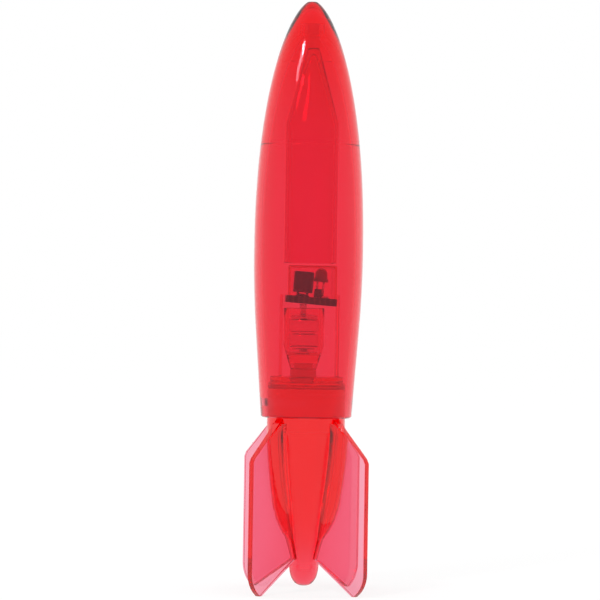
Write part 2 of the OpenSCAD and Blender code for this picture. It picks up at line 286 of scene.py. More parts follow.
lug_w, lug_h, lug_z, lug_r = 2.8 * mm, 1.5 * mm, 48.2 * mm, 10.55 * mm
catch_r = 10.8 * mm
catch_start_deg, catch_deg = -2, 88
slot_half = lug_w / 2 + 0.3 * mm
groove_low = lug_z - lug_h / 2 - 0.2 * mm
groove_high = lug_z + lug_h / 2 + 0.2 * mm
for side in (0, math.pi):
    groove = start_piece("groove")
    draw([
        (mouth_r - 1 * mm, groove_low), (catch_r, groove_low),
        (catch_r, groove_high), (mouth_r - 1 * mm, groove_high),
    ])
    bpy.ops.mesh.edge_face_add()
    bpy.ops.mesh.spin(steps=24, angle=-math.radians(catch_deg), center=(0, 0, 0), axis=(0, 0, 1))
    finish_solid()
    groove.data.transform(Matrix.Rotation(math.radians(catch_start_deg), 4, "Z"))
    slot_high = (catch_r + 0.03 * mm, slot_half, groove_high + 0.03 * mm)
    slot = block("slot", (mouth_r - 0.9 * mm, -slot_half, rim_z - 1 * mm), slot_high)
    join_solids(groove, [slot])
    groove.data.transform(Matrix.Rotation(side, 4, "Z"))
    join_solids(hull, [groove], "DIFFERENCE")
smooth(hull)
clear_red = clear_plastic("clear_red", (0.94, 0.45, 0.58), (0.985, 0.0, 0.1), 550)
place_piece(hull, clear_red, "hull", "hull_plastic", "nose_cone", "hull_barrel")


# ---- Light tube ----
# A thin clear tube that carries the lamp's light up the nose. Its tapered top ends in a peg in the
# solid tip of the nose, and its open foot stops just over the module.

tube_low, tube_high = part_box("light_tube")
tube_r = (tube_high.x - tube_low.x) / 2
tube_x = (tube_high.x + tube_low.x) / 2
tube_wall = 1 * mm
tube_shoulder_z = hollow_z - 23.5 * mm
tube_end_z = hollow_z - 4 * mm
tube_taper = 0.25
tube_end_r = tube_r - tube_taper * (tube_end_z - tube_shoulder_z)
taper_deg = 14
tube_bend_r, tube_tip_r = 4 * mm, 0.9 * mm
peg_r = 1.6 * mm
tube_outline = [(tube_r - tube_wall, tube_low.z + 0.1 * mm), (tube_r - tube_wall + 0.1 * mm, tube_low.z)]
tube_outline += [(tube_r - 0.1 * mm, tube_low.z), (tube_r, tube_low.z + 0.1 * mm)]
tube_outline += arc(tube_r - tube_bend_r, tube_shoulder_z, tube_bend_r, 0, taper_deg, 5)
tube_outline += arc(tube_end_r - tube_tip_r, tube_end_z - tube_tip_r, tube_tip_r, taper_deg, 80, 5)
tube_outline += [(peg_r, tube_end_z), (peg_r, tube_high.z), (0, tube_high.z), (0, tube_end_z - 1.5 * mm)]
tube_outline += arc(tube_end_r - 2 * mm, tube_end_z - 2.4 * mm, tube_tip_r, 90, taper_deg, 5)
tube_outline += arc(tube_r - tube_bend_r, tube_shoulder_z, tube_bend_r - tube_wall, taper_deg, 0, 5)
light_tube = lathe("light_tube_wall", tube_outline, steps=96, centre_x=tube_x)
clear_crimson = clear_plastic(
    "clear_crimson", (0.99, 0.45, 0.85), (0.97, 0.0, 0.65), 900, glare=(1, 0.3, 0.5)
)
place_piece(light_tube, clear_crimson, "hull", "tube_plastic", "light_tube")


# ---- Finned tail ----
# One solid clear moulding: the plug that fits the hull's mouth, with a groove for the rubber ring
# and two bayonet lugs, the boat tail with its round end, and four drafted fins on the diagonals
# that swell softly into the boat tail.

ring_low, ring_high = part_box("seal_ring")
neck_r = 9.95 * mm
plug_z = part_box("finned_tail")[1].z
neck_z = 41.3 * mm
boat_end_z = 11 * mm
boat_slope, boat_arc_r = 0.05, 122 * mm
nub_z = 7.4 * mm
nub_r = 3.75 * mm
nub_end_z = 1.4 * mm
nub_power = 0.8
ring_z = (ring_low.z + ring_high.z) / 2
ring_wire = (ring_high.z - ring_low.z) / 2
ring_r = ring_high.x - ring_wire
groove_half = ring_wire + 0.05 * mm
groove_floor_r = ring_r - ring_wire - 0.05 * mm


def boat_r(z):
    """Radius of the boat tail: it curves in from the neck to the round end."""
    down = neck_z - z
    return neck_r - boat_slope * down - down ** 2 / (2 * boat_arc_r)


tail_outline = [(0, plug_z), (neck_r - 0.3 * mm, plug_z), (neck_r, plug_z - 0.3 * mm)]
tail_outline += [(neck_r, ring_z + groove_half), (groove_floor_r, ring_z + groove_half)]
tail_outline += [(groove_floor_r, ring_z - groove_half), (neck_r, ring_z - groove_half)]
for i in range(29):
    z = neck_z - (neck_z - boat_end_z) * i / 28
    tail_outline.append((boat_r(z), z))
for i in range(17):
    a = math.radians(90 * i / 16)
    nub_side = nub_r * max(0, math.cos(a)) ** nub_power
    nub_down = (nub_z - nub_end_z) * math.sin(a) ** nub_power
    tail_outline.append((nub_side if i < 16 else 0, nub_z - nub_down))
tail = lathe("tail_moulding", tail_outline, steps=120)


def ease_edges(piece, width, segments=3, degrees=35):
    """Rounds every sharp edge of a piece, keeping its flat faces flat."""
    apply_modifier(
        piece, "BEVEL", width=width, segments=segments, limit_method="ANGLE",
        angle_limit=math.radians(degrees), miter_outer="MITER_ARC",
    )
    smooth(piece, 40)
    apply_modifier(piece, "WEIGHTED_NORMAL", keep_sharp=True)


def turned_copy(piece, degrees):
    """A copy with its own mesh, turned about the rocket's axis."""
    copy = piece.copy()
    copy.data = piece.data.copy()
    bpy.context.collection.objects.link(copy)
    copy.data.transform(Matrix.Rotation(math.radians(degrees), 4, "Z"))
    return copy


fin_t = 1.5 * mm
fin_root_t = 2.2 * mm
fin_r = 20.5 * mm
fin_corner_r = 7 * mm
fin_top_z = rim_z - 0.12 * mm
shoulder_z = 34 * mm
fin_low_z = 5.9 * mm
fin_tip_deg = 54
fin_in_r = 2.5 * mm
corner_r = fin_r - fin_corner_r
tip_r = corner_r + fin_corner_r * math.cos(math.radians(fin_tip_deg))
fin_points = [(fin_in_r, fin_top_z - 2 * mm), (neck_r - 0.5 * mm, fin_top_z)]
fin_points += [(neck_r + 0.2 * mm, fin_top_z), (fin_r - 0.6 * mm, shoulder_z + 0.6 * mm)]
fin_points += [(fin_r, shoulder_z - 0.6 * mm)]
fin_points += arc(corner_r, fin_low_z, fin_corner_r, 0, -fin_tip_deg, 14)
fin_points += [(tip_r - 0.2 * mm, 0), (tip_r - 1 * mm, 0)]
fin_points += [(3.3 * mm, 8.9 * mm), (fin_in_r, 9.9 * mm)]


def fin_half(r):
    """Half the thickness of a drafted fin at this distance from the axis."""
    return (fin_root_t - (fin_root_t - fin_t) * r / (fin_r + 1 * mm)) / 2


fin = start_piece("fin")
draw(fin_points)
bpy.ops.mesh.edge_face_add()
bpy.ops.mesh.extrude_region_move(TRANSFORM_OT_translate={"value": (0, 1 * mm, 0)})
finish_solid()
for vertex in fin.data.vertices:
    side = 1 if vertex.co.y > 0.5 * mm else -1
    vertex.co.y = side * fin_half(vertex.co.x)
ease_edges(fin, 0.2 * mm, 3, 50)

# The swell of a fin's root, drawn across the fin and drawn out down the curve of the boat tail.
swell_reach = 8 * mm
swell_side = 1.25 * mm
swell_steps = 14
swell_power = 2.2
swell_edge = fin_half(19 * mm) * 0.92
flank = []
for i in range(swell_steps + 1):
    out = i / swell_steps
    flank.append((swell_reach * out, swell_edge + swell_side * (1 - out) ** swell_power))
swell_top_z = fin_top_z - 1.2 * mm
swell_end_z = 11.5 * mm
swell = start_piece("swell")
ring_points = [(-1.2 * mm, flank[0][1])] + flank
ring_points += [(x, -y) for x, y in ring_points[::-1]]
bpy.ops.transform.translate(value=(neck_r + ring_points[0][0], ring_points[0][1], swell_top_z))
for (x, y), (next_x, next_y) in zip(ring_points, ring_points[1:]):
    bpy.ops.mesh.extrude_region_move(TRANSFORM_OT_translate={"value": (next_x - x, next_y - y, 0)})
bpy.ops.mesh.select_all(action="SELECT")
bpy.ops.mesh.edge_face_add()
stations = [swell_top_z] + [neck_z - (neck_z - swell_end_z) * i / 24 for i in range(25)]
for z, next_z in zip(stations, stations[1:]):
    inward = boat_r(min(next_z, neck_z)) - boat_r(min(z, neck_z))
    bpy.ops.mesh.extrude_region_move(TRANSFORM_OT_translate={"value": (inward, 0, next_z - z)})
finish_solid()
# It dies away into the fin towards its foot, and keeps inside the fin's sloping top edge.
swell_fade_z = 24 * mm
for vertex in swell.data.vertices:
    fade = min(1, (vertex.co.z - swell_end_z) / (swell_fade_z - swell_end_z))
    kept = math.copysign(min(abs(vertex.co.y), swell_edge), vertex.co.y)
    vertex.co.y = kept + (vertex.co.y - kept) * math.sin(fade * math.pi / 2)
trim_half_w, trim_half_h = 4 * mm, 6 * mm
trim = block(
    "trim",
    (neck_r - 3 * mm, -trim_half_w, fin_top_z - trim_half_h),
    (fin_r, trim_half_w, fin_top_z + trim_half_h),
)
trim_slope = math.atan2(fin_top_z - shoulder_z, fin_r - neck_r)
trim.data.transform(Matrix.Translation((0, 0, trim_half_h - 0.25 * mm)))
hinge = Vector((neck_r, 0, fin_top_z))
turn = Matrix.Translation(hinge) @ Matrix.Rotation(trim_slope, 4, "Y") @ Matrix.Translation(-hinge)
trim.data.transform(turn)
join_solids(swell, [trim], "DIFFERENCE")
smooth(swell, 40)

fin_angles = (45, 135, 225, 315)
fins = [turned_copy(fin, a) for a in fin_angles]
swells = [turned_copy(swell, a) for a in fin_angles]
bpy.data.objects.remove(fin)
bpy.data.objects.remove(swell)
join_solids(tail, swells)
join_solids(tail, fins)

for side in (-1, 1):
    ends = sorted((side * (neck_r - 1 * mm), side * lug_r))
    lug = block("lug", (ends[0], -lug_w / 2, lug_z - lug_h / 2), (ends[1], lug_w / 2, lug_z + lug_h / 2))
    ease_edges(lug, 0.15 * mm, 2)
    join_solids(tail, [lug])

foot_low, foot_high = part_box("pivot_foot")
foot_x = (foot_low.x + foot_high.x) / 2
recess_outline = [(0, foot_low.z), (0.7 * mm, foot_low.z), (3.5 * mm, plug_z)]
recess_outline += [(3.6 * mm, plug_z + 0.5 * mm), (0, plug_z + 0.5 * mm)]
recess = lathe("recess", recess_outline, steps=64, centre_x=foot_x)
join_solids(tail, [recess], "DIFFERENCE")
smooth(tail, 34)
apply_modifier(tail, "WEIGHTED_NORMAL", keep_sharp=True)
tail_red = clear_plastic("tail_red", (0.95, 0.72, 0.84), (0.99, 0.0, 0.14), 400, glare=(1, 0.95, 1))
place_piece(tail, tail_red, "tail", "tail_plastic", "finned_tail")


# ---- Seal ring ----
# A soft red silicone ring in the groove of the plug, with the fine flash line of its mould.

flash = 0.02 * mm
ring_outline = arc(ring_r, ring_z, ring_wire - flash, 6, 354, 26)
ring_outline += [(ring_r + ring_wire, ring_z - flash), (ring_r + ring_wire, ring_z + flash)]
seal_ring = lathe("seal_ring_soft", ring_outline, steps=96)
silicone = clear_plastic("red_silicone", (0.9, 0.4, 0.5), (0.9, 0.1, 0.2), 300, gloss=0.25)
place_piece(seal_ring, silicone, "seal", "seal_rubber", "seal_ring")


# ---- Module clip ----
# A clear disc on top of the plug, with a hole for the foot of the module and two thin prongs that
# stand either side of it and keep it upright.

clip_low, clip_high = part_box("module_clip")
disc_r = (clip_high.x - clip_low.x) / 2
disc_top = clip_low.z + 1.6 * mm
disc_low = clip_low.z + 0.03 * mm
disc_outline = [(1 * mm, disc_low), (disc_r - 0.2 * mm, disc_low)]
disc_outline += [(disc_r, disc_low + 0.2 * mm)]
disc_outline += arc(disc_r - 0.3 * mm, disc_top - 0.3 * mm, 0.3 * mm, 0, 90, 4)
disc_outline += [(1 * mm, disc_top)]
clip = lathe("clip_disc", disc_outline, steps=96)
hole_r = 3.5 * mm
hole_outline = [(0, clip_low.z - mm), (hole_r, clip_low.z - mm), (hole_r, disc_top)]
hole_outline += [(hole_r, disc_top + mm), (0, disc_top + mm)]
hole = lathe("hole", hole_outline, steps=48, centre_x=foot_x)
join_solids(clip, [hole], "DIFFERENCE")
prong_x, prong_reach, prong_t, prong_w = 0.45 * mm, 7.2 * mm, 0.8 * mm, 3 * mm
for side in (-1, 1):
    middle = prong_x + side * prong_reach
    prong = block(
        "prong",
        (middle - prong_t / 2, -prong_w / 2, disc_top - 0.5 * mm),
        (middle + prong_t / 2, prong_w / 2, clip_high.z),
    )
    for vertex in prong.data.vertices:
        if vertex.co.z > disc_top:
            vertex.co.y *= 0.7
    ease_edges(prong, 0.15 * mm, 2)
    join_solids(clip, [prong])
smooth(clip, 34)
apply_modifier(clip, "WEIGHTED_NORMAL", keep_sharp=True)
clear_pink = clear_plastic("clear_pink", (0.98, 0.72, 0.8), (0.98, 0.0, 0.15), 250)
place_piece(clip, clear_pink, "tail", "clip_plastic", "module_clip")


# ---- Pivot foot and cell cup ----
# The cup is a thin clear pot that tapers to a pegged foot of darker red plastic, whose point
# stands in the plug. A slot in the cup lets the lower contact out.

stud_r = (foot_high.x - foot_low.x) / 2
stud_z = foot_low.z + 2.8 * mm
cup_low, cup_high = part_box("cell_cup")
cup_r = (cup_high.x - cup_low.x) / 2
cup_bore_r = cup_r - 1.1 * mm
cup_floor_z, cup_shoulder_z = 60.9 * mm, 62.6 * mm
foot_outline = [(0, foot_low.z), (0.4 * mm, foot_low.z), (0.55 * mm, foot_low.z + 0.1 * mm)]
foot_outline += [(stud_r - 0.1 * mm, stud_z - 0.1 * mm), (stud_r, stud_z + 0.05 * mm)]
foot_outline += [(stud_r, cup_low.z - 0.2 * mm), (stud_r - 0.15 * mm, cup_low.z - 0.02 * mm)]
foot_outline += [(2.35 * mm, cup_low.z - 0.02 * mm), (2.35 * mm, foot_high.z - 0.05 * mm)]
foot_outline += [(0, foot_high.z - 0.05 * mm)]
foot = lathe("foot_stud", foot_outline, steps=64, centre_x=foot_x)
foot_red = clear_plastic("foot_red", (0.85, 0.2, 0.4), (0.9, 0.0, 0.2), 350, gloss=0.12)
place_piece(foot, foot_red, "tail", "foot_plastic", "pivot_foot")

cup_outline = [(2.4 * mm, cup_low.z), (stud_r + 0.1 * mm, cup_low.z), (cup_r, cup_shoulder_z)]
cup_outline += [(cup_r, cup_high.z - 0.2 * mm)]
cup_outline += arc(cup_r - 0.2 * mm, cup_high.z - 0.2 * mm, 0.2 * mm, 0, 90, 3)
cup_outline += arc(cup_bore_r + 0.2 * mm, cup_high.z - 0.2 * mm, 0.2 * mm, 90, 180, 3)
cup_outline += [(cup_bore_r, cup_floor_z), (0, cup_floor_z)]
cup_outline += [(0, foot_high.z), (2.4 * mm, foot_high.z)]
cup = lathe("cell_cup_wall", cup_outline, steps=72, centre_x=foot_x)
strip_w = 1.6 * mm
gap = block(
    "gap",
    (foot_x - strip_w / 2 - 0.1 * mm, 1 * mm, cup_floor_z),
    (foot_x + strip_w / 2 + 0.1 * mm, cup_r + mm, cup_floor_z + 0.4 * mm),
)
join_solids(cup, [gap], "DIFFERENCE")
smooth(cup)
cup_crimson = clear_plastic("cup_crimson", (0.99, 0.7, 0.8), (0.99, 0.0, 0.3), 260)
place_piece(cup, cup_crimson, "tail", "cup_plastic", "cell_cup")


# ---- Button cells and contacts ----
# Two nickel-plated button cells, one on the other, each a pressed can crimped over a gasket and a
# narrower cap. A sprung plate lies under them and another over them, with strips up to the board.


def dull(name, colours, rough, scale, bump_height=0.02 * mm, metal=0.0, clear=0.0):
    """A solid finish whose colour and roughness wander between two shades."""
    material, shader, add, link = new_material(name)
    shader.inputs["Metallic"].default_value = metal
    shader.inputs["Transmission Weight"].default_value = clear
    place = add("ShaderNodeTexCoord")
    grain = add("ShaderNodeTexNoise", {"Scale": scale, "Detail": 4.0, "Roughness": 0.6})
    link(place, "Object", grain, "Vector")
    shade = add("ShaderNodeValToRGB")
    shade.color_ramp.elements[0].position = 0.35
    shade.color_ramp.elements[0].color = (*colours[0], 1)
    shade.color_ramp.elements[1].position = 0.65
    shade.color_ramp.elements[1].color = (*colours[1], 1)
    link(grain, "Fac", shade, "Fac")
    link(shade, "Color", shader, "Base Color")
    polish = add("ShaderNodeMapRange", {"To Min": rough * 0.7, "To Max": min(1, rough * 1.3)})
    link(grain, "Fac", polish, "Value")
    link(polish, "Result", shader, "Roughness")
    bump = add("ShaderNodeBump", {"Strength": 0.3, "Distance": bump_height})
    link(grain, "Fac", bump, "Height")
    link(bump, "Normal", shader, "Normal")
    return material


gasket_grey = dull("gasket_grey", ((0.1, 0.11, 0.14), (0.16, 0.17, 0.2)), 0.5, 1500)


def plated(name, colours, rough=0.18):
    """Nickel plating: bright, with fine drawing marks round it."""
    material, shader, add, link = new_material(name)
    shader.inputs["Metallic"].default_value = 1.0
    place = add("ShaderNodeTexCoord")
    marks = add("ShaderNodeTexNoise", {"Scale": 2400.0, "Detail": 3.0, "Roughness": 0.5})
    squash = add("ShaderNodeMapping")
    squash.inputs["Scale"].default_value = (0.2, 0.2, 1)
    link(place, "Object", squash, "Vector")
    link(squash, "Vector", marks, "Vector")
    shade = add("ShaderNodeValToRGB")
    shade.color_ramp.elements[0].color = (*colours[0], 1)
    shade.color_ramp.elements[1].color = (*colours[1], 1)
    link(marks, "Fac", shade, "Fac")
    link(shade, "Color", shader, "Base Color")
    polish = add("ShaderNodeMapRange", {"To Min": rough * 0.6, "To Max": rough * 1.5})
    link(marks, "Fac", polish, "Value")
    link(polish, "Result", shader, "Roughness")
    return material


cell_nickel = plated("cell_nickel", ((0.92, 0.91, 0.9), (0.98, 0.98, 0.98)))
contact_nickel = plated("contact_nickel", ((0.78, 0.75, 0.7), (0.92, 0.9, 0.86)), 0.25)

can_ease = 0.25 * mm
for cell_name in ("lower_cell", "upper_cell"):
    low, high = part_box(cell_name)
    cell_r = (high.x - low.x) / 2
    cell_x = (high.x + low.x) / 2
    cap_r = cell_r - 0.9 * mm
    crimp_z = low.z + 0.7 * mm
    outline = [(0, low.z)] + arc(cap_r - 0.3 * mm, low.z + 0.3 * mm, 0.3 * mm, -90, 0, 4)
    outline += [(cap_r, crimp_z - 0.05 * mm), (cap_r + 0.45 * mm, crimp_z - 0.05 * mm)]
    outline += [(cap_r + 0.5 * mm, crimp_z)]
    outline += arc(cell_r - can_ease, crimp_z + can_ease, can_ease, -90, 0, 4)
    outline += arc(cell_r - can_ease, high.z - can_ease, can_ease, 0, 90, 4)
    outline += [(0.9 * mm, high.z), (0.8 * mm, high.z - 0.03 * mm), (0, high.z - 0.03 * mm)]
    cell = lathe(cell_name + "_can", outline, steps=72, centre_x=cell_x)
    place_piece(cell, cell_nickel, "tail", "cell_steel", cell_name)
    cell.data.materials.append(gasket_grey)
    for face in cell.data.polygons:
        from_axis = math.hypot(face.center.x - cell_x, face.center.y)
        near_seam = crimp_z - 0.1 * mm < face.center.z < crimp_z + 0.02 * mm
        if near_seam and cap_r < from_axis < cap_r + 0.52 * mm:
            face.material_index = 1

for contact_name, upwards in (("lower_contact", True), ("upper_contact", False)):
    low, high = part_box(contact_name)
    plate_r = (high.x - low.x) / 2
    dome_side = [(2.0 * mm, 0.3 * mm), (1.6 * mm, 0.32 * mm)] if upwards else []
    height = high.z - low.z
    outline = [(0, 0), (plate_r, 0), (plate_r, 0.3 * mm)] + dome_side
    outline += arc(0.75 * mm, height - 0.25 * mm, 0.25 * mm, 0, 90, 4) + [(0, height)]
    contact = lathe(contact_name + "_plate", outline, steps=64, centre_x=(high.x + low.x) / 2)
    if upwards:
        contact.data.transform(Matrix.Translation((0, 0, low.z)))
    else:
        contact.data.transform(Matrix.Translation((0, 0, high.z)) @ Matrix.Rotation(math.pi, 4, "X"))
    place_piece(contact, contact_nickel, "tail", "plated_metal", contact_name)

low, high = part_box("negative_strip")
negative = block("negative_strip_bend", (low.x, high.y - 0.3 * mm, low.z), high)
tab = block("tab", (low.x, low.y, low.z), (high.x, high.y, low.z + 0.3 * mm))
join_solids(negative, [tab])
ease_edges(negative, 0.08 * mm, 2)
place_piece(negative, contact_nickel, "tail", "plated_metal", "negative_strip")
low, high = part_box("positive_strip")
positive = block("positive_strip_blade", low, high)
ease_edges(positive, 0.08 * mm, 2)
place_piece(positive, contact_nickel, "tail", "plated_metal", "positive_strip")


# ---- Circuit board ----
# A small dark board, soldered on a little askew. It is thin laminate with a solder mask, routed
# edges, copper tracks under the mask and a bead of solder round each leg.

board_low, board_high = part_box("circuit_board")
board_w, board_d, board_t = 12.5 * mm, 11 * mm, 1.8 * mm
board_lean = math.radians(4.5)
board_middle = (board_low + board_high) / 2
lean = (
    Matrix.Translation(board_middle)
    @ Matrix.Rotation(board_lean, 4, "Y")
    @ Matrix.Translation((0, 0, board_t / 2))
)
board = block("board_laminate", (-board_w / 2, -board_d / 2, -board_t), (board_w / 2, board_d / 2, 0))
ease_edges(board, 0.12 * mm, 2)
switch_x, switch_y, switch_lift = -2.15 * mm, -1.2 * mm, 1 * mm
led_x, led_y, led_z = 2.3 * mm, 0.4 * mm, 4.1 * mm
leg_half = 0.8 * mm
joints = [(switch_x - 1.2 * mm, switch_y), (switch_x + 1.2 * mm, switch_y)]
joints += [(led_x - leg_half, led_y), (led_x + leg_half, led_y)]


def board_finish():
    """Dark solder mask with the paler lines of copper tracks under it."""
    material, shader, add, link = new_material("solder_mask")
    place = add("ShaderNodeTexCoord")
    tracks = add("ShaderNodeTexBrick", {"Scale": 380.0, "Mortar Size": 0.06, "Bias": 0.0})
    tracks.inputs["Color1"].default_value = (0.055, 0.02, 0.014, 1)
    tracks.inputs["Color2"].default_value = (0.075, 0.028, 0.02, 1)
    tracks.inputs["Mortar"].default_value = (0.14, 0.07, 0.035, 1)
    link(place, "Object", tracks, "Vector")
    link(tracks, "Color", shader, "Base Color")
    shader.inputs["Roughness"].default_value = 0.32
    bump = add("ShaderNodeBump", {"Strength": 0.4, "Distance": 0.02 * mm})
    link(tracks, "Fac", bump, "Height")
    link(bump, "Normal", shader, "Normal")
    return material


board.data.transform(lean)
place_piece(board, board_finish(), "tail", "board_laminate", "circuit_board")

solder = dull("solder", ((0.6, 0.6, 0.6), (0.8, 0.8, 0.8)), 0.3, 1800, metal=1.0)
bead_outline = [(0, 0), (0.75 * mm, 0), (0.6 * mm, 0.12 * mm)]
bead_outline += [(0.35 * mm, 0.3 * mm), (0.3 * mm, 0.5 * mm), (0, 0.5 * mm)]
for number, (x, y) in enumerate(joints):
    solder_bead = lathe("solder_bead_%d" % number, bead_outline, steps=24, centre_x=x, centre_y=y)
    solder_bead.data.transform(lean)
    solder_bead.data.materials.append(solder)
    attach(solder_bead, "tail")


# ---- Component cover ----
# A clear box glued over the parts, open below, with its foot cut to the lean of the board.

cover_low, cover_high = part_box("component_cover")
cover_wall = 0.5 * mm
cover = block("cover_box", (cover_low.x, cover_low.y, board_middle.z), cover_high)
ease_edges(cover, 0.4 * mm, 4)
inner = block(
    "inner",
    (cover_low.x + cover_wall, cover_low.y + cover_wall, board_middle.z - mm),
    (cover_high.x - cover_wall, cover_high.y - cover_wall, cover_high.z - cover_wall),
)
ease_edges(inner, 0.2 * mm, 3)
join_solids(cover, [inner], "DIFFERENCE")
below = block("below", (-board_w, -board_d, -4 * mm), (board_w, board_d, 0.02 * mm))
below.data.transform(lean)
join_solids(cover, [below], "DIFFERENCE")
smooth(cover, 34)
apply_modifier(cover, "WEIGHTED_NORMAL", keep_sharp=True)
cover_pink = clear_plastic("cover_pink", (0.98, 0.7, 0.82), (0.98, 0.0, 0.3), 300)
place_piece(cover, cover_pink, "tail", "cup_plastic", "component_cover")


# ---- Parts on the board ----
# A drop of black epoxy over the timing chip, a small black transistor, and a resistor and a
# capacitor with tinned ends, all soldered flat on the board.

black_epoxy = dull("black_epoxy", ((0.012, 0.012, 0.014), (0.03, 0.03, 0.033)), 0.4, 1200)
tan_ceramic = dull("tan_ceramic", ((0.4, 0.28, 0.17), (0.52, 0.38, 0.24)), 0.5, 2000)

blob_r, blob_h, blob_y = 1.48 * mm, 0.8 * mm, 2.25 * mm
blob = lathe("epoxy_drop", [(0, 0)] + arc(0, 0, blob_r, 0, 90, 10, blob_h), 48, switch_x, blob_y)
for vertex in blob.data.vertices:
    around = math.atan2(vertex.co.y - blob_y, vertex.co.x - switch_x)
    wobble = 1 + 0.05 * math.sin(3 * around) + 0.03 * math.sin(5 * around + 1)
    vertex.co.x = switch_x + (vertex.co.x - switch_x) * wobble
blob.data.transform(lean)
place_piece(blob, black_epoxy, "tail", "black_epoxy", "timing_chip")

pack_x = 1.6 * mm
transistor = block("transistor_pack", (0.6 * mm, -3.2 * mm, 0.15 * mm), (2.6 * mm, -2.1 * mm, 2.2 * mm))
for vertex in transistor.data.vertices:
    if vertex.co.z > 1.5 * mm:
        vertex.co.x = pack_x + (vertex.co.x - pack_x) * 0.88
ease_edges(transistor, 0.12 * mm, 2)
for x in (0.9 * mm, pack_x, 2.3 * mm):
    leg = block("leg", (x - 0.15 * mm, -3.4 * mm, 0), (x + 0.15 * mm, -3 * mm, 0.4 * mm))
    join_solids(transistor, [leg])
transistor.data.transform(lean)
place_piece(transistor, black_epoxy, "tail", "black_epoxy", "driver_transistor")

chips = (
    ("chip_resistor", (3.6, 1.2, 0), (4.85, 3.2, 0.55), black_epoxy, "black_epoxy"),
    ("chip_capacitor", (1.2, 2.4, 0), (2.8, 3.2, 0.8), tan_ceramic, "tan_ceramic"),
)
for chip_name, low, high, finish, slot_name in chips:
    low, high = Vector(low) * mm, Vector(high) * mm
    chip = block(chip_name + "_body", low, high)
    ease_edges(chip, 0.06 * mm, 2)
    longest = 1 if high.y - low.y > high.x - low.x else 0
    middle = (low + high) / 2
    cut_at = [middle[longest] + side * (high[longest] - low[longest]) * 0.3 for side in (-1, 1)]
    normal = (0, 1, 0) if longest else (1, 0, 0)
    for at in cut_at:
        pick(chip)
        bpy.ops.object.mode_set(mode="EDIT")
        bpy.ops.mesh.select_all(action="SELECT")
        point = list(middle)
        point[longest] = at
        bpy.ops.mesh.bisect(plane_co=point, plane_no=normal)
        bpy.ops.object.mode_set(mode="OBJECT")
    chip.data.materials.clear()
    chip.data.materials.append(finish)
    chip.data.materials.append(solder)
    for face in chip.data.polygons:
        if not cut_at[0] < face.center[longest] < cut_at[1]:
            face.material_index = 1
    chip.data.transform(lean)
    place_piece(chip, None, "tail", slot_name, chip_name)


# ---- Lamp ----
# A short red lamp: a flanged epoxy body with a round top, cast over two wire legs with a collar
# each. The cup on one leg that holds the light-giving chip is not drawn.

flange_r, lamp_r, lamp_h = 1.9 * mm, 1.55 * mm, 3.4 * mm
lamp_outline = [(0, 0), (flange_r - 0.1 * mm, 0), (flange_r, 0.1 * mm), (flange_r, 0.7 * mm)]
lamp_outline += [(flange_r - 0.1 * mm, 0.8 * mm), (lamp_r + 0.05 * mm, 0.8 * mm)]
lamp_outline += arc(0, lamp_h - lamp_r, lamp_r, 0, 90, 14)
lamp = lathe("lamp_body", lamp_outline, 64, led_x, led_y)
lamp.data.transform(lean @ Matrix.Translation((0, 0, led_z)))
lamp_red = clear_plastic("lamp_red", (0.7, 0.05, 0.08), (0.7, 0.0, 0.0), 1500, gloss=0.15)
place_piece(lamp, lamp_red, "tail", "lamp_epoxy", "led_lens")

wire_half = 0.22 * mm
legs = None
for side in (-1, 1):
    x = led_x + side * leg_half
    leg = block(
        "lamp_legs",
        (x - wire_half, led_y - wire_half, 0.05 * mm),
        (x + wire_half, led_y + wire_half, led_z - 0.02 * mm),
    )
    collar = block(
        "collar",
        (x - 0.35 * mm, led_y - 0.3 * mm, 2.6 * mm),
        (x + 0.35 * mm, led_y + 0.3 * mm, 3.2 * mm),
    )
    join_solids(leg, [collar])
    ease_edges(leg, 0.04 * mm, 2)
    if legs is None:
        legs = leg
    else:
        join_solids(legs, [leg])
legs.data.transform(lean)
place_piece(legs, contact_nickel, "tail", "plated_metal", "led_legs")


# ---- Shake switch ----
# A black can, crimped at its foot over a base with two legs. Inside it a fine gold coil stands
# round a fixed pin, and touches it whenever the rocket is shaken.

can_r, can_h, can_wall = 2.5 * mm, 5.3 * mm, 0.35 * mm
base_h = 0.8 * mm
upright = lean @ Matrix.Translation((switch_x, switch_y, switch_lift))
can_outline = [(can_r - can_wall, 0), (can_r - 0.05 * mm, 0), (can_r, 0.1 * mm), (can_r, 0.5 * mm)]
can_outline += [(can_r - 0.08 * mm, 0.65 * mm), (can_r - 0.08 * mm, 0.8 * mm), (can_r, 0.95 * mm)]
can_outline += arc(can_r - 0.35 * mm, can_h - 0.35 * mm, 0.35 * mm, 0, 90, 5)
can_outline += [(0, can_h), (0, can_h - can_wall), (can_r - can_wall, can_h - can_wall)]
can = lathe("switch_can_shell", can_outline, steps=64)
can.data.transform(upright)
place_piece(can, black_epoxy, "tail", "black_epoxy", "switch_can")

base_outline = [(0, 0), (can_r - can_wall - 0.02 * mm, 0), (can_r - can_wall - 0.02 * mm, 0.75 * mm)]
base_outline += [(can_r - can_wall - 0.15 * mm, base_h), (0.5 * mm, base_h)]
base_outline += [(0.4 * mm, 0.7 * mm), (0, 0.7 * mm)]
base = lathe("switch_base_disc", base_outline, steps=64)
leg_outline = [(0, -switch_lift), (0.22 * mm, -switch_lift), (0.3 * mm, -0.9 * mm)]
leg_outline += [(0.3 * mm, 0.2 * mm), (0, 0.2 * mm)]
for x in (-1.2 * mm, 1.2 * mm):
    join_solids(base, [lathe("leg", leg_outline, steps=24, centre_x=x)])
base.data.transform(upright)
phenolic = dull("phenolic", ((0.03, 0.025, 0.02), (0.06, 0.05, 0.04)), 0.55, 1500)
place_piece(base, phenolic, "tail", "black_epoxy", "switch_base")

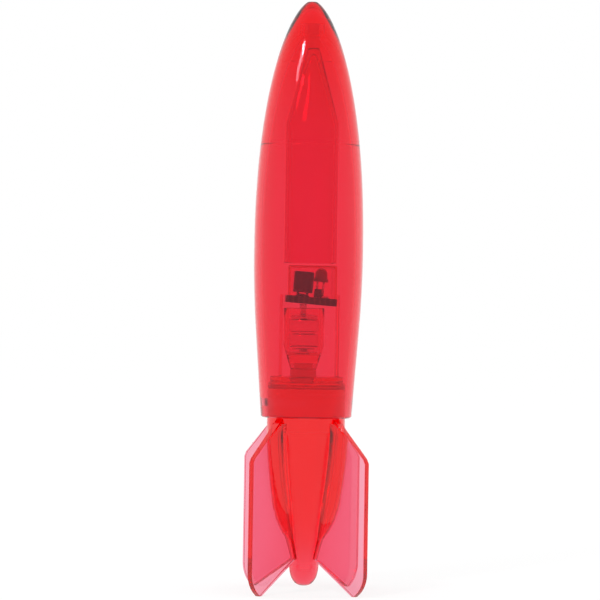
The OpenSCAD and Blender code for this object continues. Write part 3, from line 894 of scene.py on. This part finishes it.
gold = plated("gold_wire", ((0.78, 0.55, 0.2), (0.9, 0.7, 0.32)), 0.2)
pin_top = can_h - can_wall - 0.6 * mm
pin_outline = [(0, 0.72 * mm), (0.35 * mm, 0.8 * mm), (0.35 * mm, pin_top - 0.15 * mm)]
pin_outline += arc(0.2 * mm, pin_top - 0.15 * mm, 0.15 * mm, 0, 90, 4) + [(0, pin_top)]
pin = lathe("switch_pin_wire", pin_outline, steps=32)
pin.data.transform(upright)
place_piece(pin, gold, "tail", "gold_wire", "switch_pin")

coil_r, coil_wire, coil_turns, coil_h = 0.95 * mm, 0.17 * mm, 6, 2.7 * mm
bpy.ops.object.select_all(action="DESELECT")
bpy.ops.mesh.primitive_circle_add(
    radius=coil_wire, vertices=12, location=(0, 0, 0), rotation=(math.pi / 2, 0, 0)
)
coil = bpy.context.active_object
coil.name = "switch_coil_wire"
bpy.ops.object.mode_set(mode="EDIT")
bpy.ops.transform.translate(value=(coil_r, 0, 0))
bpy.ops.object.mode_set(mode="OBJECT")
bpy.ops.object.transform_apply(location=True, rotation=True, scale=True)
apply_modifier(
    coil, "SCREW", axis="Z", angle=2 * math.pi, screw_offset=coil_h / coil_turns,
    iterations=coil_turns, steps=24, render_steps=24, use_merge_vertices=False,
)
pick(coil)
bpy.ops.object.mode_set(mode="EDIT")
bpy.ops.mesh.select_all(action="SELECT")
bpy.ops.mesh.fill_holes(sides=12)
finish_solid()
smooth(coil, 50)
# The gap lets the coil sway without meeting the base.
coil_gap = 0.13 * mm
coil.data.transform(upright @ Matrix.Translation((0, 0, base_h + coil_wire + coil_gap)))
place_piece(coil, gold, "coil", "gold_wire", "switch_coil")


# ---- Floor, light and camera ----
# A flat white floor under a white sky with soft light all round, two box lights high on the left for
# the streak on the nose, and a long lens level with the middle of the rocket.

bpy.ops.object.select_all(action="DESELECT")
bpy.ops.mesh.primitive_circle_add(radius=4, vertices=96, fill_type="NGON", location=(0, 0, 0))
floor = bpy.context.active_object
floor.name = "floor"
floor_paint, floor_shader = new_material("floor_paint")[:2]
floor_shader.inputs["Base Color"].default_value = (0.2, 0.2, 0.2, 1)
floor_shader.inputs["Roughness"].default_value = 0.9
floor_shader.inputs["Specular IOR Level"].default_value = 0.0
floor_shader.inputs["Emission Color"].default_value = (1, 1, 1, 1)
floor_shader.inputs["Emission Strength"].default_value = 0.8
floor.data.materials.append(floor_paint)

world = bpy.data.worlds.new("soft_white")
bpy.context.scene.world = world
world.use_nodes = True
world.node_tree.nodes["Background"].inputs["Color"].default_value = (1, 1, 1, 1)
world.node_tree.nodes["Background"].inputs["Strength"].default_value = 1.0


def box_light(name, direction, up, distance, size, power):
    """A soft box that faces the middle of the rocket, with its long side along up."""
    middle = Vector((0, 0, (cad_low.z + cad_high.z) / 2))
    away = Vector(direction).normalized()
    side = Vector(up).cross(away).normalized()
    long_side = away.cross(side)
    data = bpy.data.lights.new(name, "AREA")
    data.shape = "RECTANGLE"
    data.size, data.size_y = size
    data.energy = power
    light = bpy.data.objects.new(name, data)
    light.matrix_world = Matrix.Translation(middle + away * distance) @ Matrix(
        (side, long_side, away)
    ).transposed().to_4x4()
    bpy.context.collection.objects.link(light)


streak_up = (0.18, -0.03, 0.144)
box_light("key_box", (-0.465, -0.579, 0.672), streak_up, 0.9, (0.09, 0.09), 1.2)
box_light("streak_box", (-0.56, -0.57, 0.6), streak_up, 0.9, (0.09, 0.24), 0.7)

view_from = math.radians(-3.8)
view_distance = 637 * mm
view_height = 74.1 * mm
view_right = 2 * mm
view_roll = math.radians(0.9)
ahead = Vector((-math.sin(view_from), math.cos(view_from), 0))
right = Vector((ahead.y, -ahead.x, 0))
camera_data = bpy.data.cameras.new("camera")
camera_data.lens = 150
camera_data.sensor_width = 36
camera_data.clip_start = 10 * mm
camera = bpy.data.objects.new("camera", camera_data)
camera.location = Vector((0, 0, view_height)) - ahead * view_distance - right * view_right
camera.rotation_mode = "QUATERNION"
level = ahead.to_track_quat("-Z", "Y")
camera.rotation_quaternion = Matrix.Rotation(-view_roll, 3, ahead).to_quaternion() @ level
bpy.context.collection.objects.link(camera)
bpy.context.scene.camera = camera

scene = bpy.context.scene
scene.view_settings.view_transform = "Standard"
scene.cycles.max_bounces = 48
scene.cycles.transmission_bounces = 48
scene.cycles.glossy_bounces = 16
scene.cycles.transparent_max_bounces = 24
